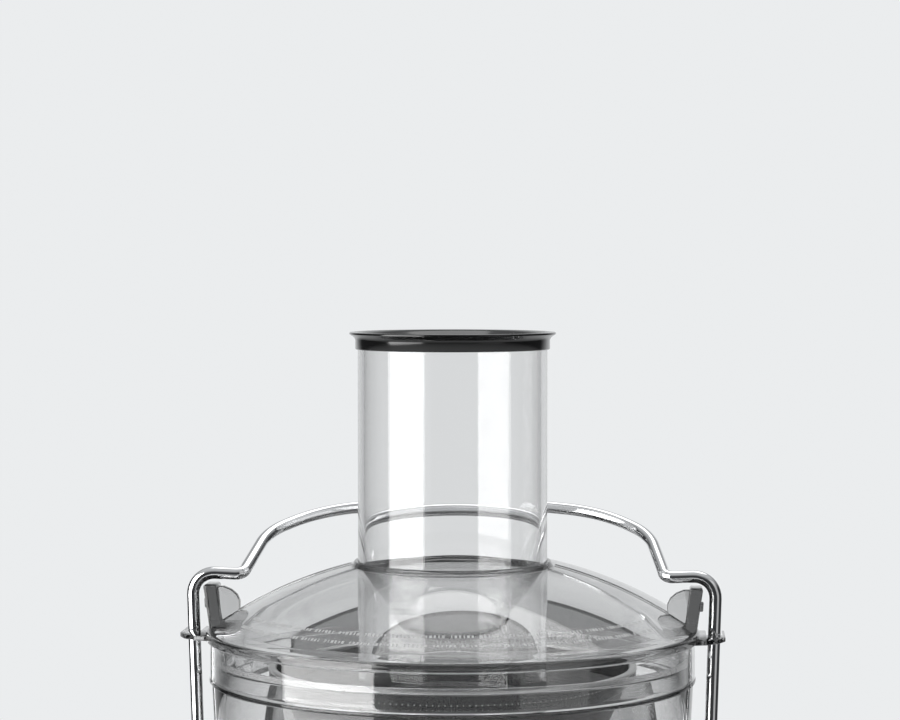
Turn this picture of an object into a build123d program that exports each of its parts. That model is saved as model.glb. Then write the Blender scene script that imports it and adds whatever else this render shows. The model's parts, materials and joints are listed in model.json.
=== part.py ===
from build123d import *
import math
import os

# Centrifugal juicer with a wide feed chute. Millimetres, +Z up, the front of the juicer towards -Y.
# Everything is modelled about the spindle axis. place() then moves it so that the origin is under the middle
# of the whole juicer, on the surface that it stands on.

# ---- driving dimensions ----
LID_Z = 270.0          # plane of the lid's bead
LID_R = 117.0          # outside of the bead
SKIRT_R = 115.0        # outside of the lid's skirt
SEAM_Z = 248.0         # where the lid's skirt meets the bowl
WALL = 2.5             # clear mouldings
GUARD_Y = 118.0        # front edge of the splash guard under the hood
GUARD_WALL = 1.5
CHUTE_R = 45.0
CHUTE_WALL = 3.0
CHUTE_TOP_Z = 406.0
CHUTE_BOTTOM_Z = 211.5
RIM_TOP_Z = 413.0
RIM_R = 49.0
COLLAR_Z = 303.0       # top of the dome, at the chute
BASKET_FLOOR_Z = 204.0
BASKET_FLOOR_R = 61.5
BASKET_BAND_Z = 243.5  # the mesh ends here, under the band
BASKET_MOUTH_R = 84.2
BASKET_BAND_TOP = 253.4
BASKET_RIM_Z = 255.0
BASKET_R = 87.5
DISC_TOP_Z = 205.6
BOWL_FLOOR_Z = 184.0
DECK_Z = 178.0         # top of the motor base
BASE_R = 96.0
BASE_TOP_R = 91.0
BASE_TOP_Z = 170.0
FOOT_H = 4.0
PLATE_T = 5.0
PIVOT_Z = 88.0         # locking arm's hinge
PIVOT_X = 118.2        # middle of the arm's eye
ARM_TOP_X = 124.9      # the leg leans outwards to here
ROD_R = 3.0
BAR_Z = 298.0          # the arm's bars, over the lid's lugs
HOOD_REACH = 226.0     # the hood stays inside the arm's swing, measured from the hinge's middle
PULP_BACK = 166.0
PULP_HALF_WIDTH = 103.0
PULP_TOP_Z = 231.0
SHAFT_R = 4.5
SHAFT_TOP_Z = 192.0
MOTOR_MID_Z = 87.0
BOLT_CIRCLE_R = 46.0
DIAL_Z = 75.0
DIAL_Y = -98.0         # front face of the bezel, where the dial sits
DIAL_R = 21.0
GLAND_ANGLE = 158.0
GLAND_Z = 26.0
RUNNING = 0.05         # radial clearance of a running fit
GAP = 0.3              # clearance between a moving piece and a fixed one

# ---- worked out from them ----
PLATE_TOP = FOOT_H + PLATE_T
DOME_FOOT_R, DOME_FOOT_Z = 113.0, LID_Z + 2.5
DOME_C = ((DOME_FOOT_R**2 + DOME_FOOT_Z**2 - CHUTE_R**2 - COLLAR_Z**2)
          / (2 * (DOME_FOOT_Z - COLLAR_Z)))
DOME_R = math.hypot(CHUTE_R, COLLAR_Z - DOME_C)
HOOD_HALF_WIDTH = 113.0
HOOD_BOTTOM_Z = PULP_TOP_Z + 3.0
HOOD_BACK = math.sqrt(HOOD_REACH**2 - (HOOD_BOTTOM_Z - PIVOT_Z)**2)
SPINDLE_Y = (LID_R - HOOD_BACK) / 2
SPOUT_ANGLE = -45.0
SPOUT_Z = 196.0
SPOUT_BORE_R = 9.0
NOZZLE_R = 13.3
NOZZLE_LOW_Z = 162.0

os.makedirs("parts", exist_ok=True)


def outer_edges(shape):
    """The circular edges of the largest radius."""
    return shape.edges().filter_by(GeomType.CIRCLE).group_by(SortBy.RADIUS)[-1]


def place(shape, node):
    """Moves a piece from the spindle axis to the juicer's own frame and writes it."""
    export_step(Pos(0, SPINDLE_Y, 0) * shape, f"parts/{node}.step")


def tube(outer, inner, low, high):
    """A plain ring about the spindle axis."""
    ring = Pos(0, 0, (low + high) / 2) * Cylinder(outer, high - low)
    return ring - Pos(0, 0, (low + high) / 2) * Cylinder(inner, high - low + 2)


def disc(radius, low, high):
    return Pos(0, 0, (low + high) / 2) * Cylinder(radius, high - low)


def turned(*points):
    """A closed outline of (radius, height) points, turned about the spindle axis."""
    outline = Polyline(*[(r, 0, z) for r, z in points], close=True)
    return revolve(make_face(outline), Axis.Z, 360)


def block(x0, x1, y0, y1, z0, z1):
    centre = ((x0 + x1) / 2, (y0 + y1) / 2, (z0 + z1) / 2)
    return Pos(*centre) * Box(x1 - x0, y1 - y0, z1 - z0)


def rear_form(half_width, back, low, high):
    """The outline of the juicer's rear: straight sides and a round back, which meet at a slight corner."""
    turn_y = back - 0.86 * half_width
    outline = Polyline((half_width, turn_y), (half_width, 0), (-half_width, 0), (-half_width, turn_y))
    outline += ThreePointArc((-half_width, turn_y), (0, back), (half_width, turn_y))
    return Pos(0, 0, low) * extrude(make_face(outline), high - low)


def rod(start, end, radius):
    """A round bar from one point to another."""
    a, b = Vector(*start), Vector(*end)
    return Plane(origin=a, z_dir=b - a) * extrude(Circle(radius), (b - a).length)


def ball(radius, x, y, z):
    return Pos(x, y, z) * Sphere(radius)


def both_sides(shape):
    """The piece and its mirror image across the middle of the juicer, as two solids."""
    return Compound([shape, mirror(shape, Plane.YZ)])


def around(shape, count, start=0.0):
    """Copies of a piece, evenly spaced about the spindle axis."""
    return Compound([Rot(0, 0, start + i * 360 / count) * shape for i in range(count)])


# ---- clear top: chute, rim, lid, bowl ----
def feed_chute():
    return tube(CHUTE_R, CHUTE_R - CHUTE_WALL, CHUTE_BOTTOM_Z, CHUTE_TOP_Z)


def chute_rim():
    """Flared black rim: a band that grips the chute and a flange that opens like a trumpet."""
    bore = CHUTE_R - CHUTE_WALL
    band_r, band_top, under = CHUTE_R + 1.2, RIM_TOP_Z - 3.6, CHUTE_TOP_Z - 1.2
    flare = ThreePointArc((band_r, 0, band_top), (band_r + 0.9, 0, RIM_TOP_Z - 1.9), (RIM_R, 0, RIM_TOP_Z - 1.2))
    outline = flare + Polyline(
        (RIM_R, 0, RIM_TOP_Z - 1.2), (RIM_R, 0, RIM_TOP_Z), (RIM_R - 1.5, 0, RIM_TOP_Z), (bore, 0, RIM_TOP_Z - 2.5),
        (bore, 0, CHUTE_TOP_Z), (CHUTE_R, 0, CHUTE_TOP_Z), (CHUTE_R, 0, under), (band_r, 0, under),
        (band_r, 0, band_top))
    return revolve(make_face(outline), Axis.Z, 360)


def lens(radius, half_width, bottom, depth):
    """The dome's outline across the juicer, carried straight back over the pulp container."""
    side_z = DOME_C + math.sqrt(radius**2 - half_width**2)
    arch = ThreePointArc((-half_width, 0, side_z), (0, 0, DOME_C + radius), (half_width, 0, side_z))
    frame = Polyline((half_width, 0, side_z), (half_width, 0, bottom), (-half_width, 0, bottom),
                     (-half_width, 0, side_z))
    return extrude(make_face(arch + frame), depth, dir=(0, 1, 0))


def hood_form(inset, bottom):
    """The lid's rear hood as a full form, drawn in by inset."""
    hood = lens(DOME_R - inset, HOOD_HALF_WIDTH - inset, bottom, HOOD_REACH)
    hood &= ball(HOOD_REACH - inset, 0, 0, PIVOT_Z)
    return hood & rear_form(HOOD_HALF_WIDTH - inset, HOOD_BACK - inset, 0, 400)


def lid_body(inset, bottom, seam):
    """The lid as a full form: front half of the dome, skirt and rear hood, drawn in by inset."""
    dome = ball(DOME_R - inset, 0, 0, DOME_C) & block(-200, 200, -200, 0, LID_Z - inset, 400)
    skirt = disc(SKIRT_R - inset, seam, DOME_FOOT_Z - inset)
    return dome, skirt, hood_form(inset, bottom)


def lid_ear():
    """Flange beside the lid that guides the arm's leg: its slot opens to the rear."""
    outline = Polyline((110, -26), (120, -24), (126, -18), (129, -11), (129, 12), (127.8, 12), (127.8, -4.5),
                       (120.2, -4.5), (120.2, 12), (110, 12), close=True)
    return Pos(0, 0, LID_Z - 1.8) * extrude(make_face(outline), 2.2)


def lid_lug():
    """Upright post that the arm locks over, its latch nub, and the leaf-shaped rib behind it."""
    top = BAR_Z - ROD_R - 2.6
    side = Polyline((109.4, 0, LID_Z + 1), (115.4, 0, LID_Z + 1), (118.6, 0, top), (112.4, 0, top), close=True)
    post = extrude(make_face(side), 8, both=True)
    nub = block(115.0, 118.8, -2, 2, BAR_Z - 17, BAR_Z - 12.5)
    leaf = Spline((113, 0, top - 1), (106, 0, top - 2.5), (101.5, 0, top - 8), (103.5, 0, top - 15.5))
    leaf += Polyline((103.5, 0, top - 15.5), (111, 0, top - 19), (113, 0, top - 1))
    return post + nub + extrude(make_face(leaf), 2.5, both=True)


def lid():
    dome, skirt, hood = lid_body(0, HOOD_BOTTOM_Z, SEAM_Z + 0.3)
    shell = dome + (hood - disc(SKIRT_R + 0.6, 0, SEAM_Z + 0.3)) + skirt
    shell += fillet(outer_edges(tube(LID_R, SKIRT_R - 1, LID_Z - 2.4, LID_Z + 2.2)), 1.2)
    shell += disc(CHUTE_R + 2.5, COLLAR_Z - 4, COLLAR_Z + 1.5)
    for piece in (lid_ear(), lid_lug()):
        shell += piece
        shell += mirror(piece, Plane.YZ)
    for hollow in lid_body(WALL, HOOD_BOTTOM_Z - 5, SEAM_Z - 5):
        shell -= hollow
    return shell - disc(CHUTE_R, COLLAR_Z - 20, COLLAR_Z + 20)


def splash_guard():
    """Dark liner clipped under the rear of the hood, which turns the pulp down into its container."""
    low, inset = HOOD_BOTTOM_Z + 2, WALL + GAP
    liner = hood_form(inset, low) - hood_form(inset + GUARD_WALL, low - 5)
    return liner & block(-200, 200, GUARD_Y, 200, 0, 400)


def spout(radius, start, end):
    """A round run along the spout's direction, between two distances from the spindle."""
    a = math.radians(SPOUT_ANGLE)
    return rod((start * math.cos(a), start * math.sin(a), SPOUT_Z),
               (end * math.cos(a), end * math.sin(a), SPOUT_Z), radius)


def filter_bowl():
    """Clear bowl: stepped lip under the lid's skirt, drain spout, and a tower round the drive."""
    low, lip = BOWL_FLOOR_Z, SEAM_Z + 10
    outer = turned((0, low), (98, low), (107, low + 8), (112.6, low + 31), (114.2, SEAM_Z), (112.2, SEAM_Z),
                   (112.2, lip), (0, lip))
    inner = turned((0, low + 3), (96.5, low + 3), (104.6, low + 9.5), (110.0, low + 31.5), (109.9, lip + 1),
                   (0, lip + 1))
    seat = tube(88, 85, DECK_Z, low + 1)
    tower = tube(26.5, 24, low, low + 9)
    bowl = outer + spout(11, 96, 123) + seat - inner + tower
    return bowl - spout(SPOUT_BORE_R, 94, 125) - disc(24, low - 4, low + 6)


def juice_nozzle():
    """Elbow pushed over the spout: level socket, then straight down."""
    out, a = 138.0, math.radians(SPOUT_ANGLE)
    bend = (out * math.cos(a), out * math.sin(a), SPOUT_Z)

    def elbow(radius, start, low):
        return spout(radius, start, out) + ball(radius, *bend) + rod(bend, (bend[0], bend[1], low), radius)

    body, bore = elbow(NOZZLE_R, 113.5, NOZZLE_LOW_Z), elbow(SPOUT_BORE_R, 120, NOZZLE_LOW_Z - 10)
    return body - bore - spout(11.1, 100, 123.2)


def lid_seal():
    return tube(112.0, 110.4, SEAM_Z + 10.2, SEAM_Z + 12.6)


# ---- spinning basket ----
def basket_mesh():
    low, high = (BASKET_FLOOR_R, BASKET_FLOOR_Z), (BASKET_MOUTH_R, BASKET_BAND_Z)
    return turned(low, (low[0] + 0.8, low[1]), (high[0] + 0.8, high[1]), high)


def basket_band():
    return fillet(outer_edges(tube(BASKET_R - 0.3, BASKET_MOUTH_R, BASKET_BAND_Z, BASKET_BAND_TOP)), 0.8)


def basket_rim():
    low, shoulder, inner = BASKET_BAND_TOP, BASKET_RIM_Z - 0.6, BASKET_MOUTH_R - 0.4
    return turned((inner, low), (BASKET_R, low), (BASKET_R, shoulder), (BASKET_R - 0.9, BASKET_RIM_Z),
                  (inner + 0.8, BASKET_RIM_Z), (inner, shoulder))


def basket_base():
    """Moulded floor of the basket, with its hub and the skirt that covers the bowl's tower."""
    top, edge = BASKET_FLOOR_Z, BASKET_FLOOR_R + 2
    floor = turned((0, top - 6), (edge - 3.5, top - 6), (edge, top - 3), (edge, top), (0, top))
    return floor + tube(31, 28.5, 189, 198.5)


def cutting_disc():
    return disc(BASKET_FLOOR_R - 2.5, BASKET_FLOOR_Z, DISC_TOP_Z)


def disc_cap():
    low = DISC_TOP_Z
    return turned((0, low), (10, low), (9, low + 2.4), (4, low + 3.6), (0, low + 3.6))


def basket_screws():
    return around(Pos(20, 0, DISC_TOP_Z + 0.6) * Cylinder(2.2, 1.2), 3)


def drive_coupling():
    """Splined coupling between the motor's shaft and the basket."""
    body = disc(15, 182, BASKET_FLOOR_Z - 6) - disc(SHAFT_R, 181, SHAFT_TOP_Z)
    for i in range(8):
        body -= Rot(0, 0, i * 45) * Pos(15.6, 0, 192) * Cylinder(2.2, 14)
    return body


def motor_shaft():
    return disc(SHAFT_R, 15, SHAFT_TOP_Z)


def motor_rotor():
    core = tube(25.5, SHAFT_R, 62, 112)
    for i in range(12):
        core -= Rot(0, 0, i * 30) * Pos(25.3, 0, MOTOR_MID_Z) * Box(3, 2.4, 52)
    return core


def commutator():
    return tube(14, SHAFT_R, 46, 58)


def cooling_fan():
    """Fan on the shaft's lower end: a hub, a back plate and swept blades."""
    fan = tube(9, SHAFT_R, 15, 27) + tube(38, SHAFT_R, 25.4, 27)
    for i in range(12):
        fan += Rot(0, 0, i * 30) * Pos(22.5, 0, 20.5) * Rot(0, 0, 18) * Box(28, 1.4, 11)
    return fan & disc(38, 15, 27)


# ---- motor, fixed ----
def bearing(low):
    return fillet(outer_edges(tube(11, SHAFT_R + RUNNING, low, low + 8)), 0.6)


def lower_bracket():
    """Lower end frame: a bearing seat on four arms that stand on the rubber mounts."""
    frame = tube(17, 11, 31, 43) + tube(52, 40, 30, 36)
    for i in range(4):
        frame += Rot(0, 0, 45 + i * 90) * block(15, 66, -6, 6, 30, 36)
    return frame


def upper_bracket():
    frame = tube(17, 11, 123, 134) + tube(50, 38, 128, 133)
    for i in range(4):
        frame += Rot(0, 0, 45 + i * 90) * block(15, 45, -6, 6, 128, 133)
    return frame - around(Pos(BOLT_CIRCLE_R, 0, 130) * Cylinder(2.7, 20), 4, 45)


def motor_bolts():
    shank, head = Pos(0, 0, 84.5) * Cylinder(2.5, 97), Pos(0, 0, 134.6) * Cylinder(4.5, 3.2)
    return around(Pos(BOLT_CIRCLE_R, 0, 0) * (shank + head), 4, 45)


def motor_mounts():
    return around(Pos(60, 0, (PLATE_TOP + 30) / 2) * Cylinder(7, 30 - PLATE_TOP), 4, 45)


def motor_stator():
    core = tube(42, 26.5, 60, 114)
    for i in range(4):
        core -= Rot(0, 0, 45 + i * 90) * Pos(BOLT_CIRCLE_R, 0, MOTOR_MID_Z) * Cylinder(6.5, 60)
    return core


def field_coils():
    return Compound([tube(38, 29, 114.3, 121), tube(38, 29, 50, 59.7)])


def brush_holders():
    return both_sides(block(14 + GAP, 27.5, -5, 5, 47, 57))


# ---- base ----
def along_dial(start, end, radius):
    """A round run along the dial's axis, between two distances from the spindle."""
    return rod((0, start, DIAL_Z), (0, end, DIAL_Z), radius)


def along_gland(start, end, radius):
    """A round run along the cord's way out, between two distances from the spindle."""
    a = math.radians(GLAND_ANGLE)
    return rod((start * math.cos(a), start * math.sin(a), GLAND_Z), (end * math.cos(a), end * math.sin(a), GLAND_Z),
               radius)


def base_cone():
    """The space inside the outer face of the base's skin."""
    return turned((0, PLATE_TOP), (BASE_R, PLATE_TOP), (BASE_TOP_R, BASE_TOP_Z), (0, BASE_TOP_Z))


def base_housing():
    """Brushed steel skin of the base, with holes for the dial, the arm's brackets and the cord's gland."""
    skin = turned((BASE_R, PLATE_TOP), (BASE_TOP_R, BASE_TOP_Z), (BASE_TOP_R - 1.2, BASE_TOP_Z),
                  (BASE_R - 1.2, PLATE_TOP))
    skin -= along_dial(-80, -110, 24)
    skin -= rod((-110, 0, PIVOT_Z), (110, 0, PIVOT_Z), 15)
    return skin - along_gland(80, 110, 7)


def base_top():
    """Deck that carries the bowl: a shallow spill tray with a boss round the shaft."""
    low, tray, edge = BASE_TOP_Z, DECK_Z - 4, BASE_TOP_R + 1.5
    deck = turned((11.2, low), (edge, low), (edge, tray), (BASE_TOP_R, DECK_Z), (84, DECK_Z), (82, tray), (18, tray),
                  (18, DECK_Z + 2), (11.2, DECK_Z + 2))
    return deck + tube(BASE_TOP_R - 1.3, BASE_TOP_R - 3.5, low - 10, low + 0.5)


def spindle_seal():
    return tube(11.2, SHAFT_R + 2 * RUNNING, BASE_TOP_Z + 2, DECK_Z + 1)


def base_plate():
    """Bottom cover with cooling slots. It runs on behind the base as the pulp container's tray."""
    tray = rear_form(PULP_HALF_WIDTH - 5, PULP_BACK - 5, FOOT_H, PLATE_TOP)
    plate = disc(BASE_R, FOOT_H, PLATE_TOP) + tray
    for i in range(10):
        plate -= Rot(0, 0, i * 36) * block(18, 34, -2, 2, 0, 20)
    return plate


FOOT_PLACES = ((58, -58), (-58, -58), (62, 118), (-62, 118))


def feet():
    return Compound([Pos(x, y, FOOT_H / 2) * Cylinder(11, FOOT_H) for x, y in FOOT_PLACES])


def base_screws():
    places = ((80, 0), (-80, 0), (0, -80), (0, 80))
    return Compound([Pos(x, y, PLATE_TOP + 4) * Cylinder(2, 8) for x, y in places])


def dial_bezel():
    """Round bezel that turns the curved front into a flat seat for the dial."""
    bore = along_dial(-80, -110, 4)
    ring = fillet(outer_edges(along_dial(-84, DIAL_Y, 30) - bore).group_by(Axis.Y)[0], 2)
    return (ring - base_cone()) + along_dial(-88, DIAL_Y + 2, 23.5) - bore


def control_dial():
    """Speed dial: fluted grip with a raised pointer, and the spindle into the switch."""
    face, flute_r = DIAL_Y - 17, DIAL_R + 0.6
    grip = along_dial(DIAL_Y - GAP, face, DIAL_R)
    for i in range(24):
        a = math.radians(i * 15)
        x, z = flute_r * math.cos(a), DIAL_Z + flute_r * math.sin(a)
        grip -= rod((x, DIAL_Y - 3.5, z), (x, face - 5, z), 1.3)
    pointer = block(-1.3, 1.3, face - 0.8, face + 0.2, DIAL_Z + 5, DIAL_Z + 19)
    return grip + pointer + along_dial(-86, DIAL_Y - 2, 3)


def rotary_switch():
    return block(-15, 15, -84, -70, DIAL_Z - 15, DIAL_Z + 15) - along_dial(-78, -90, 3.4)


def circuit_board():
    board = block(-30, 30, -66, -64.4, 100, 145)
    for x, z, w, h in ((-18, 112, 12, 14), (4, 110, 16, 10), (-8, 132, 10, 12), (18, 130, 10, 16)):
        board += block(x - w / 2, x + w / 2, -74, -65.5, z - h / 2, z + h / 2)
    return board


def arm_brackets():
    """Pods on both sides of the base that carry the arm's hinge pins."""
    pod = turned_x(((85, 0), (85, 24), (104, 21), (114.6, 15), (114.6, 0)))
    pod -= base_cone()
    spigot = rod((87, 0, PIVOT_Z), (95, 0, PIVOT_Z), 14.8)
    return both_sides(pod + spigot - rod((80, 0, PIVOT_Z), (120, 0, PIVOT_Z), 4))


def turned_x(points):
    """A closed outline of (x, radius) points, turned about the arm's hinge line."""
    outline = Polyline(*[(x, 0, PIVOT_Z + r) for x, r in points], close=True)
    return revolve(make_face(outline), Axis((0, 0, PIVOT_Z), (1, 0, 0)), 360)


def pivot_pins():
    """Hinge pins: shank through the arm's eye, held by a domed head outside it."""
    head_x = PIVOT_X + 3.6
    pin = turned_x(((87, 0), (87, 4), (head_x, 4), (head_x, 8.5), (head_x + 1.4, 8), (head_x + 2.6, 5),
                    (head_x + 3, 0)))
    return both_sides(pin)


def interlock_switch():
    """Safety switch that senses the arm, with its lever, inside the base beside the right pod."""
    return block(72, 84, 12, 32, 80, 92) + block(84, 85.5, 14, 28, 84, 88)


def cord_gland():
    """Rubber bush that the cord would leave through."""
    return along_gland(90, 97, 7) + along_gland(96, 103, 9) - along_gland(80, 120, 3.6)


# ---- locking arm ----
def arm_path():
    """Centre line of the rod, from one eye over the lid, behind the chute, and down to the other eye."""
    half = [(PIVOT_X, 0, PIVOT_Z), (ARM_TOP_X, 0, BAR_Z), (101.0, 2, BAR_Z), (92.0, 35, BAR_Z + 14.4),
            (69.0, 57, BAR_Z + 24.0)]
    points = half + [(0, 69.8, BAR_Z + 29.6)] + [(-x, y, z) for x, y, z in reversed(half)]
    radii = [10, 9, 50, 60]
    return FilletPolyline(*points, radius=radii + [200] + radii[::-1])


def locking_arm():
    path = arm_path()
    rod_body = sweep(Plane(origin=path @ 0, z_dir=path % 0) * Circle(ROD_R), path=path)
    eye = turned_x(((PIVOT_X - 3.2, SHAFT_R), (PIVOT_X - 3.2, 11), (PIVOT_X + 3.2, 11), (PIVOT_X + 3.2, SHAFT_R)))
    arm = rod_body + eye + mirror(eye, Plane.YZ)
    return arm - rod((-130, 0, PIVOT_Z), (130, 0, PIVOT_Z), 4 + RUNNING)


# ---- pulp container ----
def pulp_form(inset, floor, step, top):
    """Crescent that wraps round the base, and round the bowl above the step."""
    half_width, back = PULP_HALF_WIDTH - inset, PULP_BACK - inset
    limits = block(-200, 200, 48 + inset, 200, 0, 400)
    low = (rear_form(half_width, back, floor, step) - disc(BASE_R + 5 + inset, 0, 400)) & limits
    high = (rear_form(half_width, back, step, top) - disc(LID_R + 1.2 + inset, 0, 400)) & limits
    return low + high


def pulp_container():
    body = pulp_form(0, PLATE_TOP + 0.6, 172, PULP_TOP_Z)
    rim = rear_form(PULP_HALF_WIDTH + 3, PULP_BACK + 3, PULP_TOP_Z - 3, PULP_TOP_Z)
    rim = (rim - disc(LID_R + 1.2, 0, 400)) & block(-200, 200, 48, 200, 0, 400)
    return body + rim - pulp_form(2.2, PLATE_TOP + 3, 169.8, PULP_TOP_Z + 5)


PIECES = (feed_chute, chute_rim, lid, splash_guard, filter_bowl, juice_nozzle, lid_seal, basket_mesh,
          basket_band, basket_rim, basket_base, cutting_disc, disc_cap, basket_screws, drive_coupling,
          motor_shaft, motor_rotor, commutator, cooling_fan, lower_bracket, upper_bracket, motor_bolts,
          motor_mounts, motor_stator, field_coils, brush_holders, base_housing, base_top, spindle_seal,
          base_plate, feet, base_screws, dial_bezel, control_dial, rotary_switch, circuit_board,
          arm_brackets, pivot_pins, interlock_switch, cord_gland, locking_arm, pulp_container)

for piece in PIECES:
    place(piece(), piece.__name__)
place(bearing(33), "lower_bearing")
place(bearing(124.5), "upper_bearing")
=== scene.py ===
import json
import math

import bmesh
import bpy
from mathutils import Matrix, Vector


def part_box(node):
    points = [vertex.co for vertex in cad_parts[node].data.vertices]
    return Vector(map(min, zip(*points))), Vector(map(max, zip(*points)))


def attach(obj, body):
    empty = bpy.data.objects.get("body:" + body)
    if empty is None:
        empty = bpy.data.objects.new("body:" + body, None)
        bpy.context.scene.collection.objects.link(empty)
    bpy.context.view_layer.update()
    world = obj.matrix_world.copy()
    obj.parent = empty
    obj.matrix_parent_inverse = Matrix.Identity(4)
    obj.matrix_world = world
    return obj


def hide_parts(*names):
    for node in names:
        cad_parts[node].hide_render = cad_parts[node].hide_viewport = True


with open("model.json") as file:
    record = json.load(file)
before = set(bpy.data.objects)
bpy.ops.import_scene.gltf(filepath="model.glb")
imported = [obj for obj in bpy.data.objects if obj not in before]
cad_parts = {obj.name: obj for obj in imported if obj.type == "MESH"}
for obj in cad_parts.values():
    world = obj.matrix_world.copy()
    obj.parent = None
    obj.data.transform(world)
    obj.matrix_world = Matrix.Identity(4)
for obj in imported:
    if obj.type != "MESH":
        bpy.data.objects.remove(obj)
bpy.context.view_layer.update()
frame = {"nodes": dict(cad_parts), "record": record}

MM = 0.001
QUARTER_TURN = math.radians(90)
FULL_TURN = 2 * math.pi
STRAIGHT = 1e-3          # a corner this near to straight isn't rounded, in radians
SAME_SPOT = 1e-6         # points nearer than this are merged
NO_LENGTH = 1e-7         # edges shorter than this are dropped


def middle(node):
    low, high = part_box(node)
    return (low + high) / 2


def half_width(node):
    low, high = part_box(node)
    return (high.x - low.x) / 2


def heights(node):
    low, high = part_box(node)
    return low.z, high.z


# ---- places and sizes, in metres, taken from the frame ----
AXIS = middle("feed_chute").to_2d()            # the spindle
CHUTE_R = half_width("feed_chute")
CHUTE_BORE = CHUTE_R - 3 * MM
CHUTE_LOW, CHUTE_HIGH = heights("feed_chute")
RIM_R = half_width("chute_rim")
RIM_TOP = heights("chute_rim")[1]
BOWL_LOW, BOWL_HIGH = heights("filter_bowl")
SEAM_Z = BOWL_HIGH - 10 * MM                   # the lid's skirt stands on the bowl here
SPOUT_Z = middle("juice_nozzle").z + 10.35 * MM
LID_Z = SEAM_Z + 22 * MM                       # plane of the lid's bead
LID_R, SKIRT_R = 117 * MM, 115 * MM
LID_WALL = 2.5 * MM
COLLAR_Z = LID_Z + 33 * MM                     # top of the dome, at the chute
HOOD_LOW = heights("lid")[0]
HOOD_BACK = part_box("lid")[1].y - AXIS.y        # from the spindle to the hood's back
HINGE = middle("pivot_pins")                   # middle of the arm's hinge line
BAR_Z = LID_Z + 28 * MM                        # middle of the arm's level bars


# ---- mesh helpers ----
def new_piece(bm, name, material, body, replaces=(), smooth=40, at_spindle=True):
    """Finishes a bmesh as a piece: put on the spindle axis, shaded, given its material and its body."""
    if at_spindle:
        bmesh.ops.translate(bm, verts=bm.verts, vec=(AXIS.x, AXIS.y, 0))
    mesh = bpy.data.meshes.new(name)
    bm.to_mesh(mesh)
    bm.free()
    piece = bpy.data.objects.new(name, mesh)
    bpy.context.scene.collection.objects.link(piece)
    mesh.materials.append(material)
    mesh.shade_smooth()
    mesh.set_sharp_from_angle(angle=math.radians(smooth))
    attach(piece, body)
    if replaces:
        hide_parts(*replaces)
    return piece


def rounded(points, steps=5):
    """An outline with its corners rounded: each point is (a, b) or (a, b, radius)."""
    out, count = [], len(points)
    for i, point in enumerate(points):
        here = Vector(point[:2])
        radius = point[2] if len(point) > 2 else 0
        if not radius:
            out.append(here)
            continue
        to_prev = (Vector(points[i - 1][:2]) - here).normalized()
        to_next = (Vector(points[(i + 1) % count][:2]) - here).normalized()
        half = to_prev.angle(to_next) / 2
        if abs(half - QUARTER_TURN) < STRAIGHT:
            out.append(here)
            continue
        back = radius / math.tan(half)
        centre = here + (to_prev + to_next).normalized() * radius / math.sin(half)
        start, end = here + to_prev * back - centre, here + to_next * back - centre
        turn = start.angle_signed(end)
        out += [centre + Matrix.Rotation(-turn * k / steps, 2) @ start for k in range(steps + 1)]
    return out


def spun(outline, steps=128, start=0.0, turn=360.0):
    """A closed outline of (radius, height) points, turned about the vertical axis by some degrees."""
    bm = bmesh.new()
    verts = [bm.verts.new((r, 0, z)) for r, z in outline]
    edges = [bm.edges.new((verts[i - 1], verts[i])) for i in range(len(verts))]
    full = turn >= 360
    faces = [] if full else [bm.faces.new(verts)]
    first = Matrix.Rotation(math.radians(start), 3, "Z")
    bmesh.ops.rotate(bm, verts=bm.verts, cent=(0, 0, 0), matrix=first)
    bmesh.ops.spin(bm, geom=verts + edges + faces, cent=(0, 0, 0), axis=(0, 0, 1), angle=math.radians(turn),
                   steps=steps, use_merge=full)
    bmesh.ops.remove_doubles(bm, verts=bm.verts, dist=SAME_SPOT)
    bmesh.ops.dissolve_degenerate(bm, dist=NO_LENGTH, edges=bm.edges)
    bmesh.ops.recalc_face_normals(bm, faces=bm.faces)
    return bm


def slab(outline, low, high, edge, matrix=Matrix()):
    """A closed flat outline given a height, with its sharp edges bevelled, then put in its place."""
    sharp_angle = 0.6
    bm = bmesh.new()
    face = bm.faces.new([bm.verts.new((x, y, low)) for x, y in outline])
    pushed = bmesh.ops.extrude_face_region(bm, geom=[face])
    top = [v for v in pushed["geom"] if isinstance(v, bmesh.types.BMVert)]
    bmesh.ops.translate(bm, verts=top, vec=(0, 0, high - low))
    bmesh.ops.recalc_face_normals(bm, faces=bm.faces)
    sharp = [e for e in bm.edges if e.calc_face_angle(0) > sharp_angle]
    bmesh.ops.bevel(bm, geom=sharp, offset=edge, affect="EDGES", segments=2, profile=0.5, material=-1,
                    clamp_overlap=True)
    bmesh.ops.transform(bm, matrix=matrix, verts=bm.verts)
    return bm


def join(bm, other, mirrored=False):
    """Adds another bmesh to this one, and its mirror image across the juicer's middle if asked."""
    part = bpy.data.meshes.new("part")
    other.to_mesh(part)
    bm.from_mesh(part)
    if mirrored:
        bmesh.ops.scale(other, vec=(-1, 1, 1), verts=other.verts)
        bmesh.ops.reverse_faces(other, faces=other.faces)
        other.to_mesh(part)
        bm.from_mesh(part)
    bpy.data.meshes.remove(part)
    other.free()
    return bm


def pair(bm):
    """A bmesh and its mirror image."""
    return join(bmesh.new(), bm, mirrored=True)


def round_path(corners, steps=10):
    """A path through (point, radius) corners, with an arc at each."""
    out = [corners[0][0]]
    for (before, _), (here, radius), (after, _) in zip(corners, corners[1:], corners[2:]):
        to_before, to_after = (before - here).normalized(), (after - here).normalized()
        half = to_before.angle(to_after) / 2
        centre = here + (to_before + to_after).normalized() * radius / math.sin(half)
        start = here + to_before * radius / math.tan(half) - centre
        end = here + to_after * radius / math.tan(half) - centre
        turn, axis = start.angle(end), start.cross(end)
        out += [centre + Matrix.Rotation(turn * k / steps, 3, axis) @ start for k in range(steps + 1)]
    return out + [corners[-1][0]]


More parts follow.
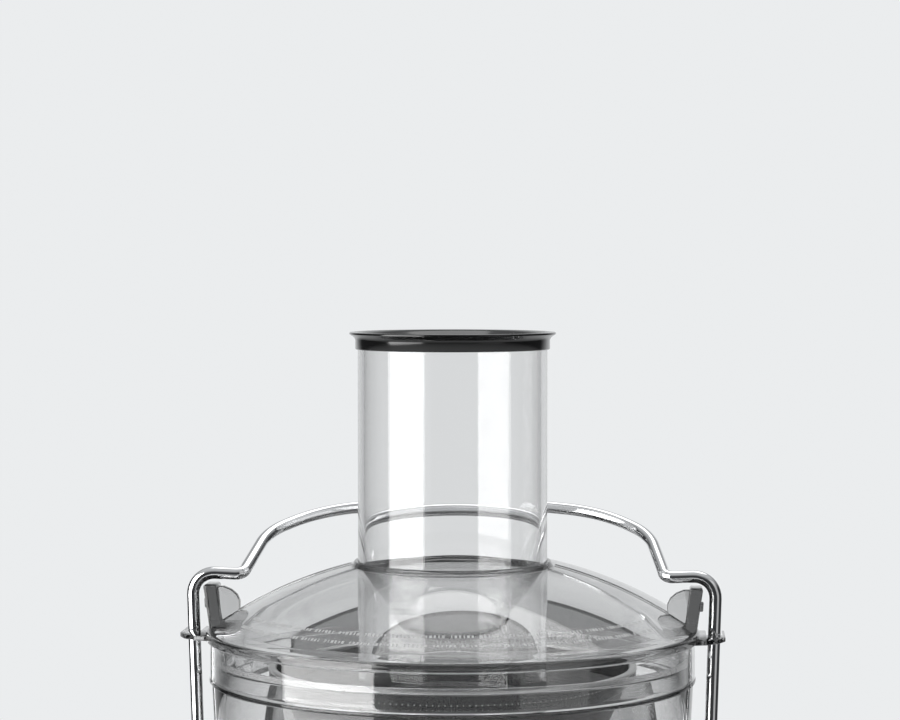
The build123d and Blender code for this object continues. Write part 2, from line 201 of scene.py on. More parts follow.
def rod(path, radius, sides):
    """A round bar along a path, closed at both ends."""
    bm = bmesh.new()
    befores, afters = [path[0], *path], [*path[1:], path[-1]]
    alongs = [(after - before).normalized() for before, after in zip(befores, afters)]
    last = alongs[0]
    turn = last.to_track_quat("Z", "Y")
    rings = []
    for point, along in zip(path, alongs):
        turn = last.rotation_difference(along) @ turn
        last = along
        place = Matrix.LocRotScale(point, turn, None)
        ring = bmesh.ops.create_circle(bm, segments=sides, radius=radius, matrix=place)["verts"]
        rings.append([e for e in bm.edges if e.verts[0] in ring and e.verts[1] in ring])
    for a, b in zip(rings, rings[1:]):
        bmesh.ops.bridge_loops(bm, edges=a + b)
    bmesh.ops.holes_fill(bm, edges=bm.edges, sides=0)
    bmesh.ops.recalc_face_normals(bm, faces=bm.faces)
    return bm


def softened(node, material, edge):
    """A refined copy of a CAD node: flat faces joined, sharp edges given a small bevel, in millimetres."""
    flat_angle, sharp_angle = math.radians(0.4), math.radians(38)
    bm = bmesh.new()
    bm.from_mesh(frame["nodes"][node].data)
    bmesh.ops.remove_doubles(bm, verts=bm.verts, dist=2 * SAME_SPOT)
    bmesh.ops.dissolve_limit(bm, angle_limit=flat_angle, verts=bm.verts, edges=bm.edges)
    piece = new_piece(bm, node + "_piece", material, body_of[node], (node,), 35,
                      at_spindle=False)
    bevel = piece.modifiers.new("edges", "BEVEL")
    bevel.width, bevel.segments = edge * MM, 2
    bevel.limit_method, bevel.angle_limit = "ANGLE", sharp_angle
    bevel.use_clamp_overlap = True


# ---- material helpers ----
class Amount:
    """A number that varies over a surface. Arithmetic on it adds Math nodes."""

    def __init__(self, sheet, socket):
        self.sheet, self.socket = sheet, socket

    def math(self, operation, *others):
        return self.sheet.number("Math", self, *others, operation=operation)

    def __add__(self, other):
        return self.math("ADD", other)

    def __sub__(self, other):
        return self.math("SUBTRACT", other)

    def __rsub__(self, other):
        return self.sheet.number("Math", other, self, operation="SUBTRACT")

    def __mul__(self, other):
        return self.math("MULTIPLY", other)

    def __truediv__(self, other):
        return self.math("DIVIDE", other)

    def __pow__(self, other):
        return self.math("POWER", other)

    __radd__, __rmul__ = __add__, __mul__

    def over(self, level):
        return self.math("GREATER_THAN", level)

    def clamp(self):
        return self.math("MAXIMUM", 0.0).math("MINIMUM", 1.0)


def length_of(x, y):
    return (x * x + y * y).math("SQRT")


class Sheet:
    """A material's node sheet."""

    def __init__(self, name, owners=bpy.data.materials):
        self.material = owners.new(name)
        self.material.use_nodes = True
        self.tree = self.material.node_tree
        self.tree.nodes.clear()

    def node(self, kind, *values, inputs=None, **settings):
        """A node with its settings, then the values or links of its sockets, by place or by name."""
        made = self.tree.nodes.new("ShaderNode" + kind)
        for name, value in settings.items():
            setattr(made, name, value)
        for key, value in [*enumerate(values), *(inputs or {}).items()]:
            self.feed(made.inputs[key], value)
        return made

    def feed(self, socket, value):
        if isinstance(value, Amount):
            value = value.socket
        if isinstance(value, bpy.types.NodeSocket):
            self.tree.links.new(value, socket)
        else:
            socket.default_value = value

    def number(self, kind, *values, inputs=None, output=0, **settings):
        return Amount(self, self.node(kind, *values, inputs=inputs, **settings).outputs[output])

    def numbers(self, vector):
        """The three parts of a vector."""
        return [Amount(self, part) for part in self.node("SeparateXYZ", vector).outputs]

    def place(self, stretch=(1, 1, 1), start=(0, 0, 0)):
        coords = self.node("TexCoord").outputs["Object"]
        inputs = {"Vector": coords, "Location": start, "Scale": stretch}
        return self.node("Mapping", inputs=inputs).outputs[0]

    def noise(self, scale, detail=3.0, stretch=(1, 1, 1), rough=0.55):
        inputs = {"Vector": self.place(stretch), "Scale": scale, "Detail": detail, "Roughness": rough}
        return self.number("TexNoise", inputs=inputs)

    def blend(self, amount, first, second):
        mix = self.node("Mix", data_type="RGBA")
        factor, first_colour, second_colour = 0, 6, 7
        self.feed(mix.inputs[factor], amount)
        self.feed(mix.inputs[first_colour], first)
        self.feed(mix.inputs[second_colour], second)
        return mix.outputs[2]

    def bump(self, height, distance, strength=1.0):
        inputs = {"Height": height, "Distance": distance, "Strength": strength}
        return self.node("Bump", inputs=inputs).outputs[0]

    def around(self):
        """Angle about the spindle, in turns, and height, in metres."""
        x, y, z = self.numbers(self.place(start=(-AXIS.x, -AXIS.y, 0)))
        return y.math("ARCTAN2", x) / FULL_TURN, z

    def shader(self, kind="BsdfPrincipled", **inputs):
        named = {name.replace("_", " "): value for name, value in inputs.items()}
        return self.node(kind, inputs=named).outputs[0]

    def done(self, surface):
        out = "OutputWorld" if isinstance(self.material, bpy.types.World) else "OutputMaterial"
        self.tree.links.new(surface, self.node(out).inputs[0])
        return self.material


def grey(level):
    return (level, level, level, 1)


# ---- finishes ----
def clear_plastic(name, clear=0.93, edge=0.22, haze=0.015, scratches=0.12):
    """Moulded clear plastic with faint scratches and smears; its colour is darker where it is seen edge on,
    which is painted shade for the dark edges of clear plastic.
    """
    s = Sheet(name)
    smear = s.noise(9.0, 4.0)
    streaks = s.noise(60.0, 5.0, (1, 1, 0.12))
    facing = s.number("LayerWeight", inputs={"Blend": 0.5}, output="Facing")
    # painted shade: the colour falls from clear to clear * edge as the surface turns edge on
    tint_with_edge_shade = s.blend((facing ** 3.0).clamp(), grey(clear), grey(clear * edge))
    fine = s.noise(240.0, 2.0, (1, 1, 0.04))
    normal = s.bump(fine * 0.3 + streaks * 0.2 + smear * 0.5, 0.02 * MM, scratches)
    body = s.shader(Base_Color=tint_with_edge_shade, Roughness=(smear - 0.42).clamp() * haze * 3 + haze * 0.4, IOR=1.46,
                    Transmission_Weight=1.0, Normal=normal)
    through = s.shader("BsdfTransparent", Color=grey(0.93))
    in_shadow = s.node("LightPath").outputs["Is Shadow Ray"]
    return s.done(s.node("MixShader", in_shadow, body, through).outputs[0])


def gloss_plastic(name, level, shine=0.5):
    """Polished black moulding with faint swirl marks and dust."""
    s = Sheet(name)
    cloud, dust = s.noise(25.0, 4.0), s.noise(1400.0, 1.0)
    colour = s.blend((dust - 0.7).clamp() * 4, grey(level), grey(level + 0.008))
    return s.done(s.shader(Base_Color=colour, Roughness=0.12 + (cloud - 0.4) * 0.12,
                           Coat_Weight=shine * 0.3, Specular_IOR_Level=shine,
                           Normal=s.bump(s.noise(70.0, 2.0), 0.02 * MM, 0.2)))


def grained_plastic(name, level):
    """Spark-textured moulding: fine even grain, with rubbed patches a little shinier."""
    s = Sheet(name)
    grain = s.number("TexVoronoi", inputs={"Vector": s.place(), "Scale": 900.0})
    rubbed = (s.noise(14.0, 3.0) - 0.5).clamp()
    colour = s.blend(rubbed * 1.5, grey(level), grey(level * 1.5 + 0.004))
    return s.done(s.shader(Base_Color=colour, Roughness=0.5 - rubbed * 0.35,
                           Normal=s.bump(grain + s.noise(300.0), 0.06 * MM, 0.5)))


def polished_chrome():
    """Plated steel: mirror bright, with faint haze and hairline marks."""
    s = Sheet("polished_chrome")
    haze, hair = s.noise(40.0, 4.0), s.noise(700.0, 2.0, (0.06, 1, 1))
    colour = s.blend((haze - 0.45).clamp() * 2, (0.86, 0.865, 0.875, 1), (0.74, 0.745, 0.755, 1))
    return s.done(s.shader(Base_Color=colour, Metallic=1.0, Roughness=0.035 + (hair - 0.5).clamp() * 0.12,
                           Normal=s.bump(haze, 0.04 * MM, 0.25)))


def brushed_steel(name, level=0.62, stretch=(3, 3, 900)):
    """Stainless steel brushed along its length, with fingerprints and a few deeper lines."""
    s = Sheet(name)
    lines, deep = s.noise(1.0, 6.0, stretch, 0.7), s.noise(0.35, 2.0, stretch)
    prints = (s.noise(18.0, 5.0) - 0.52).clamp()
    colour = s.blend(lines, grey(level * 0.82), grey(level * 1.12))
    return s.done(s.shader(Base_Color=colour, Metallic=1.0,
                           Roughness=0.24 + lines * 0.14 + prints * 0.5 - deep * 0.04,
                           Normal=s.bump(lines + deep * 0.5, 0.08 * MM, 0.55)))


def perforated_steel():
    """The basket's wall: staggered rows of fine holes in a satin steel sheet."""
    s = Sheet("perforated_steel")
    pitch, row_height, wall_r = 1.5 * MM, 1.35 * MM, 75 * MM
    hole_r, hole_clear = 0.3, 0.6              # as a share of the pitch, and how much light passes
    angle, height = s.around()
    row = height / row_height
    column = angle * (FULL_TURN * wall_r / pitch) + row.math("FLOOR") * 0.5
    off = length_of(column.math("FRACT") - 0.5, row.math("FRACT") - 0.5)
    hole = 1 - off.over(hole_r)
    worn = s.noise(120.0, 4.0)
    colour = s.blend(worn, grey(0.045), grey(0.11))
    return s.done(s.shader(Base_Color=colour, Metallic=1.0, Roughness=0.3 + worn * 0.2,
                           Alpha=1 - hole * hole_clear, Normal=s.bump(off, 0.2 * MM, 0.5)))


def moulded_rubber():
    """Matt black rubber with a little dust."""
    s = Sheet("moulded_rubber")
    dust = (s.noise(60.0, 5.0) - 0.5).clamp()
    colour = s.blend(dust * 2, grey(0.022), grey(0.07))
    return s.done(s.shader(Base_Color=colour, Roughness=0.72 + dust * 0.3, Specular_IOR_Level=0.35,
                           Normal=s.bump(s.noise(1500.0, 2.0), 0.08 * MM, 0.6)))


def stacked_laminations():
    """Stacked sheet steel: thin level lines with a little rust bloom."""
    s = Sheet("stacked_laminations")
    sheets_per_metre = 1400
    lines = (s.around()[1] * sheets_per_metre).math("FRACT")
    bloom = (s.noise(70.0, 4.0) - 0.5).clamp()
    colour = s.blend(bloom * 2, grey(0.2), (0.2, 0.12, 0.07, 1))
    return s.done(s.shader(Base_Color=colour, Metallic=0.8, Roughness=0.45 + bloom,
                           Normal=s.bump(lines, 0.15 * MM, 0.7)))


def wound_copper():
    """Enamelled winding wire, laid side by side."""
    s = Sheet("wound_copper")
    angle, height = s.around()
    wires = angle * 260 + height * 90
    colour = s.blend(s.noise(90.0), (0.45, 0.17, 0.06, 1), (0.68, 0.32, 0.14, 1))
    return s.done(s.shader(Base_Color=colour, Metallic=0.9, Roughness=0.3 + s.noise(200.0) * 0.15,
                           Coat_Weight=0.5, Normal=s.bump((wires * math.pi).math("SINE"), 0.3 * MM, 0.8)))


def cast_metal(name, level, rough):
    """Bare metal with a fine uneven skin."""
    s = Sheet(name)
    skin = s.noise(220.0, 6.0)
    colour = s.blend(skin, grey(level * 0.8), grey(level * 1.15))
    return s.done(s.shader(Base_Color=colour, Metallic=1.0, Roughness=rough + (skin - 0.5) * 0.3,
                           Normal=s.bump(skin, 0.2 * MM, 0.5)))


def board_varnish():
    """Varnished board with its copper tracks showing faintly."""
    s = Sheet("circuit_board_varnish")
    tracks = s.number("TexVoronoi", inputs={"Vector": s.place((1, 0.02, 1)), "Scale": 260.0}, feature="F1",
                      distance="MANHATTAN")
    colour = s.blend(tracks.over(0.42), (0.02, 0.12, 0.05, 1), (0.05, 0.22, 0.1, 1))
    return s.done(s.shader(Base_Color=colour, Roughness=0.35, Coat_Weight=0.4,
                           Normal=s.bump(tracks, 0.1 * MM, 0.4)))


def frosted_marks():
    """Roughened patches on clear plastic: pale, half see-through and a little uneven."""
    s = Sheet("frosted_marks")
    worn = s.noise(260.0, 3.0)
    return s.done(s.shader(Base_Color=s.blend(worn, grey(0.5), grey(0.75)), Roughness=0.6 + worn * 0.2,
                           Alpha=0.5 + worn * 0.35, Normal=s.bump(s.noise(1200.0), 0.04 * MM, 0.6)))


CLEAR = clear_plastic("clear_moulding")
# painted shade: a darkened clear moulding, so the lid's bead, collar and ribs show dark lines
SHADE_LINED_CLEAR = clear_plastic("clear_moulding_painted_shade_lines", clear=0.6, edge=0.05)
# painted shade: clear moulding darkened nearly to black for the lug posts
LUG_SHADED_CLEAR = clear_plastic("lug_moulding_painted_shade", clear=0.13, edge=0.01)
# painted shade: darkened clear moulding for the skirt's lip, drawing the seam's dark line, and for the ears
SEAM_SHADED_CLEAR = clear_plastic("clear_moulding_painted_seam_shade", clear=0.38, edge=0.02)
GUARD = clear_plastic("dark_smoked_moulding", clear=0.34, edge=0.2, haze=0.15, scratches=0.4)
SMOKE = clear_plastic("smoked_moulding", clear=0.72, edge=0.5, haze=0.12, scratches=0.5)
FROSTED = frosted_marks()
SILICONE = clear_plastic("clear_silicone", clear=0.9, edge=0.8, haze=0.3, scratches=0.2)
BLACK_BAND = gloss_plastic("black_band_moulding", 0.003, shine=0.12)
BLACK_GLOSS = gloss_plastic("black_gloss_moulding", 0.005)
BLACK_GRAIN = grained_plastic("black_grained_moulding", 0.022)
GREY_GRAIN = grained_plastic("grey_moulding", 0.3)
CHROME = polished_chrome()
SKIN_STEEL = brushed_steel("brushed_skin")
DISC_STEEL = brushed_steel("turned_disc", 0.55, (300, 300, 20))
RIM_STEEL = brushed_steel("rolled_rim", 0.38, (4, 4, 500))
MESH_STEEL = perforated_steel()
RUBBER = moulded_rubber()
LAMINATED = stacked_laminations()
COPPER = wound_copper()
CAST = cast_metal("cast_end_frame", 0.55, rough=0.45)
TURNED = cast_metal("turned_steel", 0.6, rough=0.28)
BOARD = board_varnish()


# ---- chute and rim ----
def make_chute():
    """Clear tube with a softly rounded foot."""
    soft = 0.9 * MM
    outline = rounded([(CHUTE_BORE, CHUTE_LOW, soft), (CHUTE_R, CHUTE_LOW, soft), (CHUTE_R, CHUTE_HIGH),
                       (CHUTE_BORE, CHUTE_HIGH)])
    new_piece(spun(outline, 160), "feed_chute_tube", CLEAR, "base", ("feed_chute",))


def make_rim():
    """Black rim: level lip, trumpet flare and the band that grips the chute."""
    band_r = CHUTE_R + 1.2 * MM
    band_low, band_high = CHUTE_HIGH - 1.2 * MM, RIM_TOP - 3.8 * MM
    flare = [(band_r, band_high), (band_r + 0.35 * MM, RIM_TOP - 2.9 * MM),
             (band_r + 1.1 * MM, RIM_TOP - 2.1 * MM), (RIM_R - 0.5 * MM, RIM_TOP - 1.3 * MM),
             (RIM_R, RIM_TOP - 0.95 * MM)]
    lip = [(RIM_R, RIM_TOP - 0.4 * MM), (RIM_R - 0.4 * MM, RIM_TOP), (RIM_R - 2.2 * MM, RIM_TOP),
           (RIM_R - 4 * MM, RIM_TOP - 1.0 * MM), (CHUTE_BORE, RIM_TOP - 2.6 * MM)]
    under = [(CHUTE_BORE, CHUTE_HIGH), (CHUTE_R, CHUTE_HIGH), (CHUTE_R, band_low),
             (band_r - 0.4 * MM, band_low), (band_r, band_low + 0.4 * MM)]
    new_piece(spun(flare + lip + under, 160), "chute_rim_ring", BLACK_GLOSS, "base", ("chute_rim",),
              50)


# ---- lid ----
DOME_FOOT_R, DOME_FOOT_Z = 113 * MM, LID_Z + 2.5 * MM
DOME_C = (DOME_FOOT_R**2 + DOME_FOOT_Z**2 - CHUTE_R**2 - COLLAR_Z**2) / (2 * (DOME_FOOT_Z - COLLAR_Z))
DOME_R = math.hypot(CHUTE_R, COLLAR_Z - DOME_C)
HOOD_HALF = 113 * MM                 # half the hood's width
HOOD_BOW = 0.86                      # how far the hood's back bows out, as a share of that
HOOD_REACH = 226 * MM                # from the arm's hinge to the hood's roof, inside the arm's swing
ROOF_GAP = 0.4 * MM                  # between the chute and the roof
SKIN_LAP = 0.3 * MM                  # how far the skirt stands outside the roof's edge
EDGE_DROP, EDGE_SHARE = 1.2 * MM, 0.94        # how far the roof's edge turns down, and from where
FRONT_STEPS, FRONT_START, FRONT_TURN = 120, 172, 196      # the lid's round front, in degrees


def softer_min(a, b, radius):
    """The lower of two heights, with the corner between them rounded."""
    spread = max(radius - abs(a - b), 0.0) / radius
    return min(a, b) - radius * spread * spread / 4


def roof(x, y):
    """Height of the lid's outer face: a dome in front, carried back and down over the pulp container."""
    across = max(DOME_R**2 - x * x - (y * y if y < 0 else 0), 0.0)
    dome = DOME_C + math.sqrt(across)
    if y <= 0:
        return dome
    swing = HINGE.z + math.sqrt(max(HOOD_REACH**2 - x * x - y * y, 0.0))
    return softer_min(dome, swing, 14 * MM)


def roof_over_hood(x, y):
    """Height of the roof, which stays above the hood's lower edge."""
    return max(roof(x, y), HOOD_LOW + 4 * MM)


def lid_reach(angle):
    """How far out the lid's outline is: round in front, with straight sides and a bowed back behind."""
    x, y = math.cos(angle), math.sin(angle)
    if y <= 0:
        return SKIRT_R - SKIN_LAP
    reach = HOOD_HALF / max(abs(x), NO_LENGTH)
    if reach * y > HOOD_BACK - HOOD_BOW * HOOD_HALF:
        radius = (1 + HOOD_BOW**2) / (2 * HOOD_BOW) * HOOD_HALF
        centre = HOOD_BACK - radius
        reach = centre * y + math.sqrt(max(radius**2 - (centre * x)**2, 0.0))
    return reach - SKIN_LAP


def roof_spot(angle, share):
    """A point on the roof, some share of the way out from the chute, where its edge turns down."""
    inner = CHUTE_R + ROOF_GAP
    reach = inner + (lid_reach(angle) - inner) * share
    x, y = reach * math.cos(angle), reach * math.sin(angle)
    turned = max(0.0, (share - EDGE_SHARE) / (1 - EDGE_SHARE))
    return Vector((x, y, roof_over_hood(x, y) - EDGE_DROP * turned**3))


def skirt_spot(angle, share):
    """A point on the skirt, or on the hood's side behind it, some share of the way down."""
    reach = lid_reach(angle) + SKIN_LAP * min(share * 3, 1.0)
    x, y = reach * math.cos(angle), reach * math.sin(angle)
    hooded = min(max((reach - SKIRT_R - 0.2 * MM) / (1.5 * MM), 0.0), 1.0) if y > 0 else 0.0
    skirt_low = SEAM_Z + SKIN_LAP
    low = skirt_low + (HOOD_LOW - skirt_low) * hooded
    top = roof_over_hood(x, y) - EDGE_DROP
    return Vector((x, y, top + (low - top) * share))


def make_lid_shell():
    """Skin of the lid: rings from the chute out over the roof and down the skirt, then given its wall."""
    around, over, down = 240, 26, 6
    rings = [(roof_spot, k / over) for k in range(1, over + 1)]
    rings += [(skirt_spot, k / down) for k in range(1, down + 1)]
    bm = bmesh.new()
    first = bmesh.ops.create_circle(bm, segments=around, radius=1)["verts"]
    angle_of = {vert: math.atan2(vert.co.y, vert.co.x) for vert in first}
    for vert, angle in angle_of.items():
        vert.co = roof_spot(angle, 0.0)
    edges = list(bm.edges)
    for spot, share in rings:
        grown = bmesh.ops.extrude_edge_only(bm, edges=edges)["geom"]
        edges = [e for e in grown if isinstance(e, bmesh.types.BMEdge) and len(e.link_faces) == 1]
        fresh = {}
        for vert in grown:
            if isinstance(vert, bmesh.types.BMVert):
                mates = (e.other_vert(vert) for e in vert.link_edges)
                fresh[vert] = next(angle_of[mate] for mate in mates if mate in angle_of)
        for vert, angle in fresh.items():
            vert.co = spot(angle, share)
        angle_of = fresh
    bmesh.ops.recalc_face_normals(bm, faces=bm.faces)
    if sum(f.normal.z for f in bm.faces) < 0:
        bmesh.ops.reverse_faces(bm, faces=bm.faces)
    piece = new_piece(bm, "lid_shell", CLEAR, "base", ("lid",), 60)
    wall = piece.modifiers.new("wall", "SOLIDIFY")
    wall.thickness, wall.offset, wall.use_even_offset = LID_WALL, -1.0, True


def make_lid_trim():
    """Bead and skirt lip round the front, collar at the chute, and a ridge across each side of the dome."""
    inner, low, high = SKIRT_R - 0.6 * MM, LID_Z - 2.4 * MM, LID_Z + 2.2 * MM
    bead = rounded([(inner, low), (LID_R, low, 1.1 * MM), (LID_R, high, 1.4 * MM), (inner, high)])
    # the bead's darker lines are painted shade
    new_piece(spun(bead, FRONT_STEPS, FRONT_START, FRONT_TURN), "lid_bead", SHADE_LINED_CLEAR, "base")

    # painted shade: the skirt's lip is a dark ring that draws the seam's dark line where the skirt meets
    # the bowl
    inner, outer, soft = SKIRT_R - 2.4 * MM, SKIRT_R + SKIN_LAP, 0.4 * MM
    low, high = SEAM_Z + 0.3 * MM, SEAM_Z + 1.7 * MM
    lip = rounded([(inner, low, soft), (outer, low, soft), (outer, high, soft), (inner, high, soft)])
    new_piece(spun(lip, FRONT_STEPS, FRONT_START, FRONT_TURN), "lid_skirt_lip_painted_seam_shade", SEAM_SHADED_CLEAR, "base")

    inner, high = CHUTE_R + 0.1 * MM, COLLAR_Z + 1.5 * MM
    collar = rounded([(inner, COLLAR_Z - 2 * MM), (CHUTE_R + 3.2 * MM, COLLAR_Z - 1.2 * MM),
                      (CHUTE_R + 1.6 * MM, high, 0.7 * MM), (inner, high)])
    # the collar's dark ring round the chute is painted shade
    new_piece(spun(collar, 160), "lid_collar", SHADE_LINED_CLEAR, "base")

    start, end, steps = CHUTE_R + 3.5 * MM, 111 * MM, 28
    across = [start + (end - start) * k / steps for k in range(steps + 1)]
    ridge = [Vector((x, 1.5 * MM, roof(x, 0) - 0.2 * MM)) for x in across]
    new_piece(pair(rod(ridge, 0.9 * MM, 8)), "lid_ridges", CLEAR, "base")


def make_mark_rows():
    """Two rows of plain frosted dashes moulded round the front of the dome."""
    spread = 128                                  # degrees
    wide, proud = 1.7 * MM, 0.2 * MM
    lengths = (0.6 * MM, 1.2 * MM, 0.9 * MM)
    bm = bmesh.new()
    for radius, count in ((99 * MM, 120), (104.5 * MM, 128)):
        place = Matrix.Translation((radius, 0, roof(0, -radius) + proud / 2)) \
            @ Matrix.Rotation(math.asin(radius / DOME_R), 4, "Y")
        for k in range(count):
            if k % 7 == 6:                        # a gap after every six
                continue
            turn = Matrix.Rotation(math.radians(-90 + spread * (k / (count - 1) - 0.5)), 4, "Z")
            size = Matrix.Diagonal((wide, lengths[k % 3], proud, 1))
            bmesh.ops.create_cube(bm, size=1, matrix=turn @ place @ size)
    new_piece(bm, "lid_mark_rows", FROSTED, "base")


def make_lugs():
    """Each side's leaning post with its latch nub, its leaf-shaped rib, and the ear round the arm's leg."""
    top, upright = BAR_Z - 5.6 * MM, Matrix.Rotation(QUARTER_TURN, 4, "X")
    post = slab([(109.6 * MM, LID_Z), (115.4 * MM, LID_Z), (118.6 * MM, top), (112.4 * MM, top)],
                -8 * MM, 8 * MM, 0.9 * MM, upright)
    nub_low, nub_high = BAR_Z - 17 * MM, BAR_Z - 12.5 * MM
    nub = slab([(116 * MM, nub_low), (118.7 * MM, nub_low), (119.0 * MM, nub_high), (116.6 * MM, nub_high)],
               -2 * MM, 2 * MM, 0.5 * MM, upright)
    # the posts' near black colour is painted shade
    new_piece(pair(join(post, nub)), "lid_lug_posts", LUG_SHADED_CLEAR, "base")

    # the rib's edge: across, and down from the post's top, in millimetres
    edge = [(113.2, 1.0), (109.5, 1.2), (106, 2.6), (103.2, 5.0), (101.8, 8.0), (101.9, 11.5),
            (103.5, 15.6), (106.5, 17.4), (110, 19.4)]
    leaf = slab([(x * MM, top - drop * MM) for x, drop in edge], -2.6 * MM, 2.6 * MM, 1.0 * MM, upright)
    # the rib's darkness is painted shade
    new_piece(pair(leaf), "lid_lug_ribs", SHADE_LINED_CLEAR, "base")

    root, slot_in, slot_out, outer = 113 * MM, 120.2 * MM, 127.8 * MM, 129 * MM
    slot_end, back = -4.5 * MM, 12 * MM
    ear = rounded([(root, -26 * MM), (120 * MM, -24 * MM, 4 * MM), (126 * MM, -18 * MM, 4 * MM),
                   (outer, -11 * MM, 3 * MM), (outer, back, 0.6 * MM), (slot_out, back, 0.4 * MM),
                   (slot_out, slot_end, 2 * MM), (slot_in, slot_end, 2 * MM), (slot_in, back, 0.6 * MM),
                   (root, back)], 4)
    # the ears' darkness is painted shade
    new_piece(pair(slab(ear, LID_Z - 1.8 * MM, LID_Z + 0.4 * MM, 0.35 * MM)), "lid_ears", SEAM_SHADED_CLEAR, "base")


# ---- bowl ----
def make_bowl():
    """Clear bowl wall with its stepped lip, floor, tower round the drive, foot ring and spout."""
    low, wall_z = BOWL_LOW + 6 * MM, BOWL_LOW + 37 * MM
    tower_in, tower_out, tower_z = 24 * MM, 26.5 * MM, low + 9 * MM
    lip_in, lip_out = 109.9 * MM, 112.2 * MM
    outside = [(tower_in, low, 0.8 * MM), (98 * MM, low, 5 * MM), (107.5 * MM, low + 9 * MM, 8 * MM),
               (112.6 * MM, wall_z, 20 * MM), (114.2 * MM, SEAM_Z, 0.3 * MM)]
    lip = [(lip_out, SEAM_Z), (lip_out, BOWL_HIGH, 0.8 * MM), (lip_in, BOWL_HIGH, 0.8 * MM)]
    inside = [(110 * MM, wall_z + 0.5 * MM, 20 * MM), (105 * MM, low + 9.5 * MM, 8 * MM),
              (96.8 * MM, low + 3 * MM, 5 * MM), (tower_out, low + 3 * MM, 1 * MM),
              (tower_out, tower_z, 0.8 * MM), (tower_in, tower_z, 0.8 * MM)]
    bowl = spun(rounded(outside + lip + inside), 160)

    foot_in, foot_out, soft = 85 * MM, 88 * MM, 0.5 * MM
    foot = rounded([(foot_in, BOWL_LOW, soft), (foot_out, BOWL_LOW, soft), (foot_out, low), (foot_in, low)])
    join(bowl, spun(foot))

    bore, outer, start, end, soft = 9 * MM, 11 * MM, 102 * MM, 123 * MM, 0.6 * MM
    spout = spun(rounded([(bore, start), (outer, start), (outer, end, soft), (bore, end, soft)]), 64)
    place = Matrix.Rotation(-QUARTER_TURN / 2, 4, "Z") @ Matrix.Translation((0, 0, SPOUT_Z)) \
        @ Matrix.Rotation(QUARTER_TURN, 4, "Y")
    bmesh.ops.transform(spout, matrix=place, verts=spout.verts)
    join(bowl, spout)
    new_piece(bowl, "filter_bowl_wall", CLEAR, "base", ("filter_bowl",))


# ---- basket ----
def make_basket():
    """Perforated cone, black band with its ring of studs, and rolled bright rim."""
    low, high = heights("basket_mesh")
    inner = 84.2 * MM
    wall = [(61.5 * MM, low), (62.3 * MM, low), (inner + 0.8 * MM, high), (inner, high)]
    new_piece(spun(wall), "basket_wall", MESH_STEEL, "spinner", ("basket_mesh",), 20)

    top, band_r = heights("basket_band")[1], 87.2 * MM
    band = rounded([(inner, high, 0.3 * MM), (86.4 * MM, high, 0.6 * MM),
                    (band_r, high + 2.2 * MM, 0.6 * MM), (band_r, top, 0.6 * MM),
                    (inner, top, 0.3 * MM)], 3)
    new_piece(spun(band, 160), "basket_band_ring", BLACK_BAND, "spinner", ("basket_band",))

    studs, count = bmesh.new(), 200
    place = Matrix.Translation((band_r - 0.05 * MM, 0, (high + top) / 2 - 0.4 * MM))
    for k in range(count):
        turn = Matrix.Rotation(FULL_TURN * k / count, 4, "Z")
        bmesh.ops.create_icosphere(studs, subdivisions=1, radius=0.3 * MM, matrix=turn @ place)
    new_piece(studs, "basket_band_studs", RIM_STEEL, "spinner")

    low, high = heights("basket_rim")
    inner, outer = 83.8 * MM, 87.5 * MM
    lip = rounded([(inner, low), (outer, low, 0.4 * MM), (outer, high - 0.4 * MM, 0.4 * MM),
                   (86.4 * MM, high, 0.5 * MM), (84.6 * MM, high, 0.4 * MM),
                   (inner, high - 0.6 * MM, 0.3 * MM)], 3)
    new_piece(spun(lip, 160), "basket_rim_ring", RIM_STEEL, "spinner", ("basket_rim",))


def make_cutting_disc():
    """Cutting disc with rings of raised teeth."""
    low, high = heights("cutting_disc")
    bore, outer = 6 * MM, 59 * MM
    bm = spun(rounded([(bore, low), (outer, low, 0.3 * MM), (outer, high, 0.5 * MM), (bore, high)], 3), 96)
    stretched = Matrix.Diagonal((1, 1.8, 1, 1))
    for ring, count in ((24, 14), (32, 20), (40, 26), (48, 32), (55, 38)):
        offset = ring % 3 / 3                     # staggers each ring against the next
        for k in range(count):
            turn = Matrix.Rotation(FULL_TURN * (k + offset) / count, 4, "Z")
            spot = turn @ Matrix.Translation((ring * MM, 0, high + 0.8 * MM)) @ stretched
            bmesh.ops.create_cone(bm, cap_ends=True, segments=5, radius1=1.1 * MM, radius2=0.1 * MM,
                                  depth=1.7 * MM, matrix=spot)
    new_piece(bm, "cutting_disc_plate", DISC_STEEL, "spinner", ("cutting_disc",))


